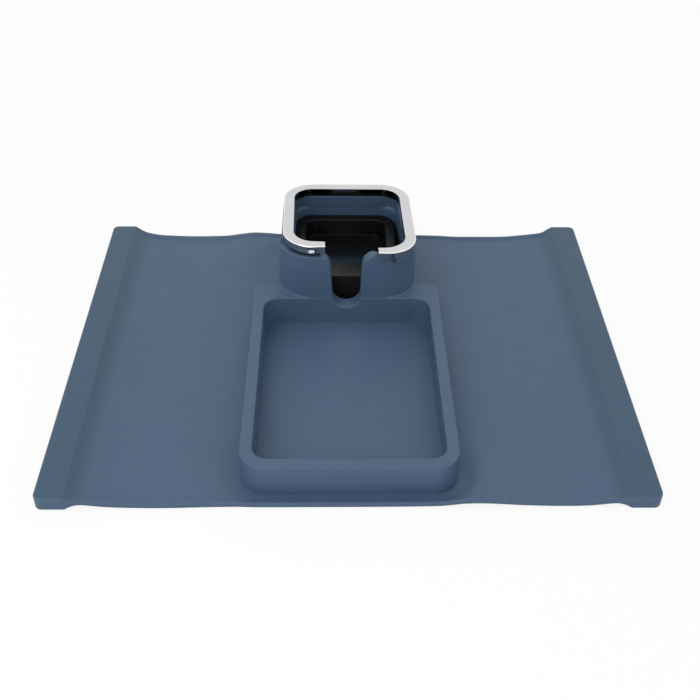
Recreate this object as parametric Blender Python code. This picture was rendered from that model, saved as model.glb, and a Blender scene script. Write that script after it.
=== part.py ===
# Sofa-armrest mat with a phone tray and a cup tower, moulded in silicone
# Units are metres, +Z is up, the tray lies towards -Y and the cup tower towards +Y
# The origin is the centre of the footprint, on the surface that the mat lies on
import bpy
import bmesh
from math import cos, sin, pi
from mathutils import Matrix, Vector

# Mat and its two end rails; its depth follows from what stands on it
mat_width = 0.420
sheet_thickness = 0.0025
sheet_front_inset = 0.001
sheet_back_inset = 0.005
lip_width = 0.0040
lip_height = 0.0014
lip_edge_radius = 0.0008
fold_margin = 0.0131
rail_width = 0.020
rail_height = 0.0115
rail_corner_radius = 0.005
rail_edge_radius = 0.0012
sheet_lift_at_rail = 0.0040
sheet_rise_length = 0.038

# Weight bar sealed in each rail, and the holes left by the pins that held it in the mould
bar_width = 0.012
bar_height = 0.0055
bar_end_cover = 0.015
pin_hole_radius = 0.0015
pin_hole_from_bar_end = 0.053

# Phone and snack tray, whose back runs on beside the tower as two ears
tray_width = 0.1498
tray_front_margin = 0.0138
tray_length = 0.2125
tray_ear_length = 0.0221
tray_height = 0.0254
tray_wall = 0.0078
tray_front_corner_radius = 0.016
tray_back_corner_radius = 0.013
tray_inner_corner_radius = 0.010
tray_rim_radius = 0.0014
tray_floor_fillet = 0.0030
tray_draft = 0.0004

# Stepped cup insert, a thin-walled shell that is open underneath, with a recess for a can
insert_recess_width = 0.0670
insert_recess_depth = 0.0150
insert_recess_corner_radius = 0.010
insert_recess_draft = 0.0008
insert_ledge_width = 0.0082
insert_height = 0.0422
insert_wall = 0.0025
insert_edge_radius = 0.0010
insert_floor_fillet = 0.0020
insert_slot_ease = 0.0006

# Cup tower round the insert, with a slot for a mug's handle
cavity_flare = 0.0019
tower_rim_width = 0.0016
tower_draft = 0.0018
tower_back_margin = 0.0205
tower_lip_height = 0.0646
tower_lip_edge_radius = 0.0005
seat_depth = 0.0016
slot_width = 0.0254
slot_draft = 0.0014
slot_floor_height = 0.0152
slot_flare_radius = 0.0082

# Bright C-shaped trim ring, with the tongue that is pressed into the tower's wall
ring_band = 0.0087
ring_height = 0.0067
ring_inner_corner_radius = 0.0123
ring_edge_radius = 0.0007
tongue_width = 0.0024
tongue_depth = 0.0050
tongue_end_inset = 0.0040

# Fits
clearance = 0.0003
cut_overrun = 0.004

# Rounding steps
corner_steps = 8
edge_steps = 2
rise_steps = 8
hole_sides = 12

# Half widths, each one round the last: recess, insert, cavity, ring, tower
recess_half = insert_recess_width / 2
insert_half = recess_half + insert_ledge_width
cavity_half = insert_half + clearance
ring_inner_half = cavity_half + cavity_flare
ring_half = ring_inner_half + ring_band
tower_lip_half = ring_half + tower_rim_width
tower_foot_half = tower_lip_half + tower_draft
tower_corner_core = ring_inner_half - ring_inner_corner_radius
ring_gap_half = slot_width / 2 + slot_flare_radius - clearance / 2
slot_foot_radius = slot_width / 2 - slot_draft
fold_line = tray_width / 2 + fold_margin

# Heights
stand_height = sheet_thickness + clearance
ledge_height = stand_height + insert_height
seat_height = tower_lip_height - seat_depth
ring_bottom = seat_height + clearance
ring_top = ring_bottom + ring_height


def tower_half_at(height):
    return tower_foot_half - tower_draft * height / tower_lip_height


# Places from front to back
mat_depth = (tray_front_margin + tray_length - tray_ear_length + tower_half_at(tray_height)
             + tower_foot_half + tower_back_margin)
front_edge = -mat_depth / 2
tray_front = front_edge + tray_front_margin
tray_back = tray_front + tray_length
tower_front_at_rim = tray_back - tray_ear_length
tower_y = tower_front_at_rim + tower_half_at(tray_height)
bar_length = mat_depth - 2 * bar_end_cover


def clear_scene():
    for old in list(bpy.data.objects):
        bpy.data.objects.remove(old, do_unlink=True)


def make_material(name, colour, roughness, metallic):
    material = bpy.data.materials.new(name)
    material.use_nodes = True
    shader = material.node_tree.nodes["Principled BSDF"]
    shader.inputs["Base Color"].default_value = (*colour, 1.0)
    shader.inputs["Roughness"].default_value = roughness
    shader.inputs["Metallic"].default_value = metallic
    return material


def silicone():
    return make_material("slate_blue_silicone", (0.100, 0.145, 0.200), 0.55, 0.0)


def bright_plating():
    return make_material("bright_plating", (0.82, 0.82, 0.84), 0.12, 1.0)


def black_moulding():
    return make_material("black_moulding", (0.010, 0.010, 0.011), 0.25, 0.0)


def bar_steel():
    return make_material("bar_steel", (0.45, 0.45, 0.46), 0.45, 1.0)


def smooth_shading(item):
    item.data.shade_smooth()
    item.data.set_sharp_from_angle(angle=pi / 6)


def mesh_object(name, bm, material):
    bmesh.ops.recalc_face_normals(bm, faces=bm.faces)
    mesh = bpy.data.meshes.new(name)
    bm.to_mesh(mesh)
    bm.free()
    item = bpy.data.objects.new(name, mesh)
    bpy.context.scene.collection.objects.link(item)
    item.data.materials.append(material)
    return item


def loft(name, rings, material, joined_ends=False):
    # Joins rings of equal point counts, and closes the ends or joins the last ring to the first
    bm = bmesh.new()
    rows = [[bm.verts.new(point) for point in ring] for ring in rings]
    pairs = list(zip(rows, rows[1:]))
    if joined_ends:
        pairs.append((rows[-1], rows[0]))
    for low, high in pairs:
        for i in range(len(low)):
            j = (i + 1) % len(low)
            bm.faces.new((low[i], low[j], high[j], high[i]))
    if not joined_ends:
        bm.faces.new(rows[0])
        bm.faces.new(rows[-1])
    return mesh_object(name, bm, material)


def prism(name, outline, low, high, material):
    # Stands an outline in the XY plane up between two heights
    rings = [[Vector((x, y, z)) for x, y in outline] for z in (low, high)]
    return loft(name, rings, material)


def corner_arc(centre_x, centre_y, radius, start, turn=pi / 2, steps=corner_steps):
    points = []
    for i in range(steps + 1):
        angle = start + turn * i / steps
        points.append((centre_x + radius * cos(angle), centre_y + radius * sin(angle)))
    return points


def rounded_outline(left, right, front, back, front_radius, back_radius):
    # Anticlockwise from the back right corner
    points = corner_arc(right - back_radius, back - back_radius, back_radius, 0)
    points += corner_arc(left + back_radius, back - back_radius, back_radius, pi / 2)
    points += corner_arc(left + front_radius, front + front_radius, front_radius, pi)
    points += corner_arc(right - front_radius, front + front_radius, front_radius, 3 * pi / 2)
    return points


def tower_outline(half):
    # All the squares of the tower share their four corner centres
    radius = half - tower_corner_core
    return rounded_outline(-half, half, tower_y - half, tower_y + half, radius, radius)


def c_outline(outer_half, inner_half, gap_half):
    # Square ring, open at the front between -gap_half and gap_half
    outer = c_side(outer_half, gap_half)
    inner = c_side(inner_half, gap_half)
    return outer + inner[::-1]


def c_side(half, gap_half):
    radius = half - tower_corner_core
    core = tower_corner_core
    points = [(gap_half, tower_y - half)]
    points += corner_arc(core, tower_y - core, radius, -pi / 2)
    points += corner_arc(core, tower_y + core, radius, 0)
    points += corner_arc(-core, tower_y + core, radius, pi / 2)
    points += corner_arc(-core, tower_y - core, radius, pi)
    points.append((-gap_half, tower_y - half))
    return points


def rounded_edge(radius, steps=edge_steps):
    # Pairs of inset and drop along a quarter round, from the side face up to the top face
    pairs = []
    for i in range(steps + 1):
        angle = pi / 2 * i / steps
        pairs.append((radius * (1 - cos(angle)), radius * (1 - sin(angle))))
    return pairs


def at_height(outline, height):
    return [Vector((x, y, height)) for x, y in outline]


def set_origin(item, x, y):
    # Moves an object's origin without moving its mesh
    place = Vector((x, y, 0.0))
    item.data.transform(Matrix.Translation(-place))
    item.location = place


def boolean(item, tool, operation):
    modifier = item.modifiers.new(operation.lower() + "_" + tool.name, "BOOLEAN")
    modifier.operation = operation
    modifier.solver = "EXACT"
    modifier.object = tool
    tool.hide_render = True
    tool.display_type = "WIRE"


def bevel(item, width, segments=edge_steps):
    modifier = item.modifiers.new("edge_round", "BEVEL")
    modifier.width = width
    modifier.segments = segments
    modifier.limit_method = "ANGLE"
    modifier.angle_limit = pi / 4
    modifier.use_clamp_overlap = True


# Sheet

def sheet_section():
    # Front-to-back section of the sheet, with its raised lips, as pairs of y and z
    front = front_edge + sheet_front_inset
    back = -front_edge - sheet_back_inset
    lip_top = sheet_thickness + lip_height
    points = [(front, 0.0), (back, 0.0)]
    for inset, drop in rounded_edge(lip_edge_radius):
        points.append((back - inset, lip_top - drop))
    for inset, drop in rounded_edge(lip_edge_radius)[::-1]:
        points.append((back - lip_width + inset, lip_top - drop))
    points.append((back - lip_width, sheet_thickness))
    points.append((front + lip_width, sheet_thickness))
    for inset, drop in rounded_edge(lip_edge_radius):
        points.append((front + lip_width - inset, lip_top - drop))
    for inset, drop in rounded_edge(lip_edge_radius)[::-1]:
        points.append((front + inset, lip_top - drop))
    return points


def sheet_lift(x):
    # The sheet lies flat, then rises to meet the rail above the surface
    rail_face = mat_width / 2 - rail_width
    share = (abs(x) - rail_face + sheet_rise_length) / sheet_rise_length
    share = min(max(share, 0.0), 1.0)
    return sheet_lift_at_rail * share * share * (3 - 2 * share)


def sheet_ring(x):
    return [Vector((x, y, z + sheet_lift(x))) for y, z in sheet_section()]


def make_mat_centre(material):
    edge = fold_line - clearance / 2
    item = loft("mat_centre", [sheet_ring(-edge), sheet_ring(edge)], material)
    smooth_shading(item)
    return item


def rail_rings(side):
    outer = mat_width / 2
    inner = outer - rail_width
    rings = []
    edge = rounded_edge(rail_edge_radius)
    heights = [(inset, drop) for inset, drop in edge[::-1]]
    heights += [(inset, rail_height - drop) for inset, drop in edge]
    for inset, height in heights:
        left = inner + inset
        right = outer - inset
        if side < 0:
            left, right = -right, -left
        radius = rail_corner_radius - inset
        outline = rounded_outline(left, right, front_edge + inset, -front_edge - inset, radius, radius)
        rings.append(at_height(outline, height))
    return rings


def box_rings(centre, size):
    # Lower and upper ring of a plain box
    half = Vector(size) / 2
    rings = []
    for z in (centre[2] - half.z, centre[2] + half.z):
        corners = [(-half.x, -half.y), (half.x, -half.y), (half.x, half.y), (-half.x, half.y)]
        rings.append([Vector((centre[0] + x, centre[1] + y, z)) for x, y in corners])
    return rings


def bar_centre(side):
    return (side * (mat_width - rail_width) / 2, 0.0, rail_height / 2)


def make_wing(side, side_name, material):
    start = fold_line + clearance / 2
    rail_face = mat_width / 2 - rail_width
    rise_start = rail_face - sheet_rise_length
    stations = [start]
    stations += [rise_start + sheet_rise_length * i / rise_steps for i in range(rise_steps + 1)]
    stations.append(rail_face + rail_width / 4)
    wing = loft(side_name + "_wing", [sheet_ring(side * x) for x in stations], material)
    rail = loft(side_name + "_rail_block", rail_rings(side), material)
    boolean(wing, rail, "UNION")
    pocket_size = [length + 2 * clearance for length in (bar_width, bar_length, bar_height)]
    pocket = loft(side_name + "_pocket", box_rings(bar_centre(side), pocket_size), material)
    boolean(wing, pocket, "DIFFERENCE")
    for end in (-1, 1):
        x = bar_centre(side)[0]
        y = end * (bar_length / 2 - pin_hole_from_bar_end)
        outline = corner_arc(x, y, pin_hole_radius, 0, 2 * pi, hole_sides)[:-1]
        hole = prism(side_name + "_pin_hole", outline, -cut_overrun, rail_height / 2, material)
        boolean(wing, hole, "DIFFERENCE")
    smooth_shading(wing)
    set_origin(wing, side * fold_line, 0.0)
    return wing


def make_weight_bar(side, side_name, material):
    rings = box_rings(bar_centre(side), (bar_width, bar_length, bar_height))
    bar = loft(side_name + "_weight_bar", rings, material)
    smooth_shading(bar)
    set_origin(bar, side * fold_line, 0.0)
    return bar


# Tray

def tray_outline(inset):
    half = tray_width / 2 - inset
    front = tray_front + inset
    back = tray_back - inset
    front_radius = tray_front_corner_radius - inset
    back_radius = tray_back_corner_radius - inset
    return rounded_outline(-half, half, front, back, front_radius, back_radius)


def tray_well_outline(inset):
    # The well ends at the tower's front face
    half = tray_width / 2 - tray_wall - inset
    front = tray_front + tray_wall + inset
    back = tower_front_at_rim - inset
    radius = tray_inner_corner_radius - inset
    return rounded_outline(-half, half, front, back, radius, radius)


def make_tray_wall(material):
    rings = [at_height(tray_outline(-tray_draft), stand_height)]
    for inset, drop in rounded_edge(tray_rim_radius):
        rings.append(at_height(tray_outline(inset), tray_height - drop))
    for inset, drop in rounded_edge(tray_rim_radius)[::-1]:
        rings.append(at_height(tray_well_outline(-inset), tray_height - drop))
    for inset, drop in rounded_edge(tray_floor_fillet):
        rings.append(at_height(tray_well_outline(inset), stand_height + drop))
    wall = loft("tray_wall", rings, material, joined_ends=True)
    foot = tower_half_at(0.0) + clearance
    head = tower_half_at(tower_lip_height) + clearance
    tower_space = loft("tower_space", [
        at_height(tower_outline(foot), 0.0),
        at_height(tower_outline(head), tower_lip_height),
    ], material)
    boolean(wall, tower_space, "DIFFERENCE")
    smooth_shading(wall)
    return wall


# Tower

def slot_outline(ease):
    # The mug-handle slot seen from the front, as pairs of x and z, with a round foot
    foot = slot_foot_radius + ease
    head = slot_width / 2 + ease
    foot_centre = slot_floor_height + slot_foot_radius
    flare_centre = tower_lip_height - slot_flare_radius
    points = corner_arc(0.0, foot_centre, foot, pi, pi, 2 * corner_steps)
    right = corner_arc(head + slot_flare_radius, flare_centre, slot_flare_radius, pi, -pi / 2)
    points += right
    top = ring_top + cut_overrun
    points.append((right[-1][0], top))
    points.append((-right[-1][0], top))
    points += [(-x, z) for x, z in right[::-1]]
    return points


def cut_slot(item, from_half, to_half, ease, material):
    # Cuts the handle slot through one front wall, between two distances from the tower's middle
    rings = []
    for y in (tower_y - from_half - cut_overrun, tower_y - to_half):
        rings.append([Vector((x, y, z)) for x, z in slot_outline(ease)])
    slot = loft(item.name + "_slot", rings, material)
    boolean(item, slot, "DIFFERENCE")


def make_cup_tower(material):
    rings = [at_height(tower_outline(tower_half_at(stand_height)), stand_height)]
    for inset, drop in rounded_edge(tower_lip_edge_radius):
        height = tower_lip_height - drop
        rings.append(at_height(tower_outline(tower_half_at(height) - inset), height))
    rings.append(at_height(tower_outline(ring_inner_half), tower_lip_height))
    rings.append(at_height(tower_outline(cavity_half), ledge_height))
    rings.append(at_height(tower_outline(cavity_half), stand_height))
    tower = loft("cup_tower", rings, material, joined_ends=True)

    seat_outline = c_outline(ring_half + clearance, ring_inner_half - cut_overrun,
                             ring_gap_half - clearance)
    seat = prism("ring_seat", seat_outline, seat_height, ring_top, material)
    boolean(tower, seat, "DIFFERENCE")
    groove = prism("tongue_groove", tongue_outline(clearance),
                   ring_bottom - tongue_depth - clearance, ring_top, material)
    boolean(tower, groove, "DIFFERENCE")
    cut_slot(tower, tower_half_at(0.0), 0.0, 0.0, material)
    smooth_shading(tower)
    return tower


# Trim ring

def tongue_outline(extra):
    middle = ring_half - ring_band / 2
    half = tongue_width / 2 + extra
    return c_outline(middle + half, middle - half, ring_gap_half + tongue_end_inset - extra)


def make_trim_ring(material):
    outline = c_outline(ring_half, ring_inner_half, ring_gap_half)
    ring = prism("trim_ring", outline, ring_bottom, ring_top, material)
    bevel(ring, ring_edge_radius)
    tongue = prism("ring_tongue", tongue_outline(0.0), ring_bottom - tongue_depth,
                   ring_bottom + ring_height / 2, material)
    boolean(ring, tongue, "UNION")
    smooth_shading(ring)
    return ring


# Cup insert

def make_cup_insert(material):
    recess = recess_half
    foot = recess - insert_recess_draft
    floor = ledge_height - insert_recess_depth
    shelf = ledge_height - insert_wall
    skirt = insert_half - insert_wall
    rings = [
        at_height(recess_outline(foot + insert_wall), floor - insert_wall),
        at_height(recess_outline(recess + insert_wall), shelf),
        at_height(tower_outline(skirt), shelf),
        at_height(tower_outline(skirt), stand_height),
        at_height(tower_outline(insert_half), stand_height),
    ]
    for inset, drop in rounded_edge(insert_edge_radius):
        rings.append(at_height(tower_outline(insert_half - inset), ledge_height - drop))
    for inset, drop in rounded_edge(insert_edge_radius)[::-1]:
        rings.append(at_height(recess_outline(recess + inset), ledge_height - drop))
    for inset, drop in rounded_edge(insert_floor_fillet):
        rings.append(at_height(recess_outline(foot - inset), floor + drop))
    insert = loft("cup_insert", rings, material)
    cut_slot(insert, insert_half, foot - insert_floor_fillet, insert_slot_ease, material)
    smooth_shading(insert)
    set_origin(insert, 0.0, tower_y)
    return insert


def recess_outline(half):
    radius = half - recess_half + insert_recess_corner_radius
    return rounded_outline(-half, half, tower_y - half, tower_y + half, radius, radius)


def build():
    clear_scene()
    body = silicone()
    steel = bar_steel()
    make_mat_centre(body)
    make_tray_wall(body)
    make_cup_tower(body)
    for side, side_name in ((-1, "left"), (1, "right")):
        make_wing(side, side_name, body)
        make_weight_bar(side, side_name, steel)
    make_trim_ring(bright_plating())
    make_cup_insert(black_moulding())


build()
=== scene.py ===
# Sofa-armrest mat in slate-blue silicone, with a phone tray and a cup tower
# Metres, +Z up, tray towards -Y, cup tower towards +Y
from math import cos, pi, radians, sin
import bmesh
import bpy
import numpy as np
from mathutils import Matrix, Vector


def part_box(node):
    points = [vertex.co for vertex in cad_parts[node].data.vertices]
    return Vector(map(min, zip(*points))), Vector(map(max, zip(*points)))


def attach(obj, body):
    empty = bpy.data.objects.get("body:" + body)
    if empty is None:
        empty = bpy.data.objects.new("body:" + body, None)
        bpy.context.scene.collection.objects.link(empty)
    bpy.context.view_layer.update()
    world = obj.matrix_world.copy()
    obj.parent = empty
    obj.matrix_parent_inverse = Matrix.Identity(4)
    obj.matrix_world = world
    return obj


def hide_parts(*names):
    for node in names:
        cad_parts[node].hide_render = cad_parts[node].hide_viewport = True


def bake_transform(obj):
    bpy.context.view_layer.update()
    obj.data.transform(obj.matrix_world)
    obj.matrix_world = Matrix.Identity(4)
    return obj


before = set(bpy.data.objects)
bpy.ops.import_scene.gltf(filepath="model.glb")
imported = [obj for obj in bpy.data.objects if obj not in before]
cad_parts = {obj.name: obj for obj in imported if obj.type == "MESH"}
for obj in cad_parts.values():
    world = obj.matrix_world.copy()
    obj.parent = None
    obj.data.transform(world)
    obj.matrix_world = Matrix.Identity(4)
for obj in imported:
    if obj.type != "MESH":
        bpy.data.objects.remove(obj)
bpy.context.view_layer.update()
print("frame loaded:", ", ".join(sorted(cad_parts)))

mm = 0.001
matLow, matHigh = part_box("mat_centre")
wingLow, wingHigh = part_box("right_wing")
trayLow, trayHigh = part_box("tray_wall")
towerLow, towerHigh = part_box("cup_tower")
ringLow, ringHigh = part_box("trim_ring")
insertLow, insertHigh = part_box("cup_insert")
barLow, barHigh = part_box("right_weight_bar")
towerY = (towerLow.y + towerHigh.y) / 2


# Camera, at the photograph's viewing angle

camera = {
    "place": (-12.5 * mm, -636.8 * mm, 516.0 * mm),
    "pitch": 38.93,
    "yaw": 1.369,
    "roll": 0.839,
    "lens": 52.97,
}


def addCamera():
    pitch, yaw, roll = (radians(camera[k]) for k in ("pitch", "yaw", "roll"))
    forward = Vector((sin(yaw) * cos(pitch), cos(yaw) * cos(pitch), -sin(pitch)))
    level = Vector((cos(yaw), -sin(yaw), 0))
    upright = level.cross(forward)
    right = cos(roll) * level + sin(roll) * upright
    up = cos(roll) * upright - sin(roll) * level
    turn = Matrix((right, up, -forward)).transposed().to_4x4()
    data = bpy.data.cameras.new("camera")
    data.lens = camera["lens"]
    item = bpy.data.objects.new("camera", data)
    item.matrix_world = Matrix.Translation(camera["place"]) @ turn
    bpy.context.scene.collection.objects.link(item)
    bpy.context.scene.camera = item


addCamera()


# Small helpers for meshes

def linkMesh(name, verts, faces):
    mesh = bpy.data.meshes.new(name)
    mesh.from_pydata([tuple(v) for v in verts], [], [tuple(f) for f in faces])
    bm = bmesh.new()
    bm.from_mesh(mesh)
    bmesh.ops.recalc_face_normals(bm, faces=bm.faces)
    bm.to_mesh(mesh)
    bm.free()
    item = bpy.data.objects.new(name, mesh)
    bpy.context.scene.collection.objects.link(item)
    return item


def loftRings(name, rings):
    # Skins rings of equal point counts and closes both ends
    count = len(rings[0])
    verts = [p for ring in rings for p in ring]
    faces = []
    for low in range(0, len(verts) - count, count):
        for j in range(count):
            k = (j + 1) % count
            faces.append((low + j, low + k, low + count + k, low + count + j))
    faces.append(range(count))
    faces.append(range(len(verts) - count, len(verts)))
    return linkMesh(name, verts, faces)


def arcPoints(centreX, centreY, radius, start, turn, steps):
    angles = [start + turn * i / steps for i in range(steps + 1)]
    return [(centreX + radius * cos(a), centreY + radius * sin(a)) for a in angles]


def roundedRect(left, right, front, back, frontRadius, backRadius):
    # Anticlockwise from the back right corner
    steps = 12
    points = arcPoints(right - backRadius, back - backRadius, backRadius, 0, pi / 2, steps)
    points += arcPoints(left + backRadius, back - backRadius, backRadius, pi / 2, pi / 2, steps)
    points += arcPoints(left + frontRadius, front + frontRadius, frontRadius, pi, pi / 2, steps)
    points += arcPoints(right - frontRadius, front + frontRadius, frontRadius, 3 * pi / 2, pi / 2, steps)
    return points


def atHeight(outline, z):
    return [(x, y, z) for x, y in outline]


def edgeSteps(radius, steps=4):
    # Pairs of inset and drop round a convex edge, from the side face up to the top face
    angles = [pi / 2 * i / steps for i in range(steps + 1)]
    return [(radius * (1 - cos(a)), radius * (1 - sin(a))) for a in angles]


def cutWith(item, tool, operation="DIFFERENCE"):
    modifier = item.modifiers.new("cut", "BOOLEAN")
    modifier.operation = operation
    modifier.solver = "EXACT"
    modifier.object = tool
    applyModifiers(item)
    bpy.data.objects.remove(tool)


def applyModifiers(item):
    view = bpy.context.evaluated_depsgraph_get()
    mesh = bpy.data.meshes.new_from_object(item.evaluated_get(view))
    item.modifiers.clear()
    item.data = mesh


def shadeRound(item, angle):
    item.data.shade_smooth()
    item.data.set_sharp_from_angle(angle=radians(angle))


def readPoints(item):
    points = np.zeros(len(item.data.vertices) * 3)
    item.data.vertices.foreach_get("co", points)
    return points.reshape(-1, 3)


def writePoints(item, points):
    item.data.vertices.foreach_set("co", points.ravel())
    item.data.update()


def ease(t):
    t = np.clip(t, 0, 1)
    return t * t * (3 - 2 * t)


# Sheet and rails

mat = {
    "front": matLow.y,
    "back": matHigh.y,
    "thickness": 2.5 * mm,
    "lipWidth": 3.6 * mm,
    "lipFall": (0.76, 0.4),    # where the lip falls off and over how much, as shares of its width
    "lipEdge": 0.8 * mm,
    "underEdge": 0.5 * mm,
    "seam": 76.5 * mm,         # where the centre sheet meets the side sheets
    "bendStart": 79 * mm,      # the side sheets get close stations between here
    "bendEnd": 97 * mm,        # and here, for a bend when a wing folds down
    "bendSteps": 12,
    "stationGap": 3 * mm,
    "flatMargin": 3 * mm,      # sheet stays flat this close to the tray and the tower
    "waveFade": 16 * mm,
    "waveReach": 75 * mm,      # how far the edge waves run into the sheet
    # Height of the underside along the front and back edges, in millimetres from left to right
    "frontWave": [(-190, 4.0), (-179, 3.7), (-164, 1.8), (-140, 0.6), (-84, 1.5), (-20, 1.7), (30, 1.9),
                  (56, 2.5), (86, 4.2), (121, 2.1), (140, 1.5), (161, 1.8), (179, 3.9), (190, 4.2)],
    "backWave": [(-190, 6.3), (-181, 4.5), (-170, 1.9), (-155, 0.7), (-121, 0.3), (-105, 1.0), (-94, 2.8),
                 (-83, 4.2), (-72, 3.9), (-58, 2.6), (-30, 1.2), (30, 1.0), (74, 1.5), (90, 0.8), (101, 0.1),
                 (125, 0.0), (148, 0.4), (159, 1.5), (170, 2.8), (181, 4.6), (190, 7.2)],
    "middleLift": 4.2 * mm,    # underside at the rail, halfway along it
    "middleRise": 38 * mm,
    "lipStations": (0.35, 0.55, 0.72, 0.80, 0.88, 0.96, 1.04, 1.12, 1.22, 1.4),
    "rows": 108,
}
mat["lipHeight"] = matHigh.z - mat["thickness"]

rail = {
    "outer": wingHigh.x,
    "width": 20 * mm,
    "front": wingLow.y,
    "back": wingHigh.y,
    "height": wingHigh.z,
    "corner": 5 * mm,
    "edge": 1.3 * mm,
    "cove": 12 * mm,           # the sheet sweeps up to the rail's top and down to its foot over this width
    "coveSteps": 10,
    "stations": (0.02, 0.1, 0.22, 0.34, 0.5, 0.66, 0.78, 0.86),
}
rail["inner"] = rail["outer"] - rail["width"]


def smoothCurve(table, x):
    # Smooth curve through a table of millimetres, with level ends
    xs = np.array([p[0] for p in table]) * mm
    ys = np.array([p[1] for p in table]) * mm
    slopes = np.gradient(ys, xs)
    slopes[0] = slopes[-1] = 0
    x = np.clip(x, xs[0], xs[-1])
    i = np.clip(np.searchsorted(xs, x) - 1, 0, len(xs) - 2)
    h = xs[i + 1] - xs[i]
    t = (x - xs[i]) / h
    t2, t3 = t * t, t * t * t
    return ((2 * t3 - 3 * t2 + 1) * ys[i] + (t3 - 2 * t2 + t) * h * slopes[i]
            + (3 * t2 - 2 * t3) * ys[i + 1] + (t3 - t2) * h * slopes[i + 1])


def planDistance(x, y, left, right, front, back, radius):
    # Signed distance to a rounded rectangle seen from above, negative inside
    qx = np.abs(x - (left + right) / 2) - (right - left) / 2 + radius
    qy = np.abs(y - (front + back) / 2) - (back - front) / 2 + radius
    return np.hypot(np.maximum(qx, 0), np.maximum(qy, 0)) + np.minimum(np.maximum(qx, qy), 0) - radius


def sheetUnderside(x, y):
    # The sheet lies flat in the middle, waves along its edges and climbs to the rails
    fromFront = ease(1 - (y - mat["front"]) / mat["waveReach"])
    fromBack = ease(1 - (mat["back"] - y) / mat["waveReach"])
    middle = mat["middleLift"] * ease(1 - (rail["inner"] - np.abs(x)) / mat["middleRise"])
    height = (fromFront * smoothCurve(mat["frontWave"], x) + fromBack * smoothCurve(mat["backWave"], x)
              + (1 - fromFront - fromBack) * middle)
    toTray = planDistance(x, y, trayLow.x, trayHigh.x, trayLow.y, trayHigh.y, tray["frontCorner"])
    toTower = planDistance(x, y, towerLow.x, towerHigh.x, towerLow.y, towerHigh.y, tower["corner"])
    clear = np.minimum(toTray, toTower) - mat["flatMargin"]
    return np.maximum(height, 0) * ease(clear / mat["waveFade"])


def coveShare(x):
    # 0 on the sheet, 1 at the rail
    return np.clip(1 - (rail["inner"] - x) / rail["cove"], 0, 1) ** 2


def edgeY(x, end):
    # Plan position of the front (-1) or back (1) edge at a distance x from the middle
    sheetEnd = mat["front"] if end < 0 else mat["back"]
    railEnd = rail["front"] if end < 0 else rail["back"]
    radius = rail["corner"]
    reach = max(x - rail["outer"] + radius, 0)
    rounding = radius - max(radius ** 2 - reach ** 2, 0) ** 0.5
    return sheetEnd + (railEnd - sheetEnd) * coveShare(x) - end * rounding


def lipForm(distance):
    width = mat["lipWidth"]
    start, fall = mat["lipFall"]
    return mat["lipHeight"] * (1 - ease((distance - start * width) / (fall * width)))


def inWell(x, y):
    # Whether a place lies inside the middle line of the tray's wall
    middle = tray["wall"] / 2
    back = towerY - tower["foot"] + tray["sinkBehind"]
    return planDistance(x, y, trayLow.x + middle, trayHigh.x - middle, trayLow.y + middle, back,
                        tray["wellCorner"][0] + middle) < 0


def railProfile():
    # Stations from the start of the cove to the outer face, with the drop of the rail's rounded edge
    rows = []
    for i in range(1, rail["coveSteps"] + 1):
        rows.append((rail["inner"] - rail["cove"] * (1 - i / rail["coveSteps"]), 0.0))
    for share in rail["stations"]:
        rows.append((rail["inner"] + rail["width"] * share, 0.0))
    rows += [(rail["outer"] - inset, drop) for inset, drop in edgeSteps(rail["edge"])[::-1]]
    return rows


def sheetChain(side, x, drop, top):
    # Points from the front edge to the back edge along the top or the underside at one station
    share = float(coveShare(x))
    thin = mat["lipEdge"] if top else mat["underEdge"]
    radius = thin + (rail["edge"] - thin) * share
    front = edgeY(x, -1)
    back = edgeY(x, 1)
    roundSteps = 4
    insets = edgeSteps(radius, roundSteps)
    near = [mat["lipWidth"] * s for s in mat["lipStations"]]
    ys = [front + inset for inset, fall in insets] + [front + radius + d for d in near]
    farEnd = [back - inset for inset, fall in insets] + [back - radius - d for d in near]
    farEnd = farEnd[::-1]
    first, last = ys[-1], farEnd[0]
    count = mat["rows"]
    ys += [first + (last - first) * i / count for i in range(1, count)] + farEnd
    ys = np.array(ys)
    falls = np.zeros(len(ys))
    falls[:roundSteps + 1] = [fall for inset, fall in insets]
    falls[-roundSteps - 1:] = falls[:roundSteps + 1][::-1]
    under = sheetUnderside(side * min(x, rail["inner"]), ys)
    if top:
        lip = lipForm(np.minimum(ys - front, back - ys)) - tray["wellSink"] * inWell(side * x, ys)
        heights = (1 - share) * (under + mat["thickness"] + lip) + share * rail["height"] - drop - falls
    else:
        heights = (1 - share) * under + drop + falls
    return np.column_stack([np.full(len(ys), side * x), ys, heights])


def makeSkin(name, side, stations, closingRail):
    # A closed solid between two sets of chains, one over the other
    tops = []
    bottoms = []
    for x, s in stations:
        tops.append(sheetChain(s, x, 0.0, True))
        bottoms.append(sheetChain(s, x, 0.0, False))
    if closingRail:
        for x, drop in railProfile():
            tops.append(sheetChain(side, x, drop, True))
            bottoms.append(sheetChain(side, x, drop, False))
    count = len(tops[0])
    rows = len(tops)
    verts = np.concatenate(tops + bottoms)
    total = rows * count
    faces = []
    for i in range(rows - 1):
        for j in range(count - 1):
            a = i * count + j
            faces.append((a, a + 1, a + count + 1, a + count))
            b = a + total
            faces.append((b, b + count, b + count + 1, b + 1))
        for j in (0, count - 1):
            a = i * count + j
            faces.append((a, a + count, a + count + total, a + total))
    for i in (0, rows - 1):
        for j in range(count - 1):
            a = i * count + j
            faces.append((a, a + 1, a + total + 1, a + total))
    item = linkMesh(name, verts, faces)
    shadeRound(item, 50)
    return item


def makeCentreSheet():
    seam = mat["seam"]
    count = int(2 * seam / mat["stationGap"])
    places = [-seam + 2 * seam * i / count for i in range(count + 1)]
    return makeSkin("centre_sheet", 1, [(abs(x), -1 if x < 0 else 1) for x in places], False)


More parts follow.
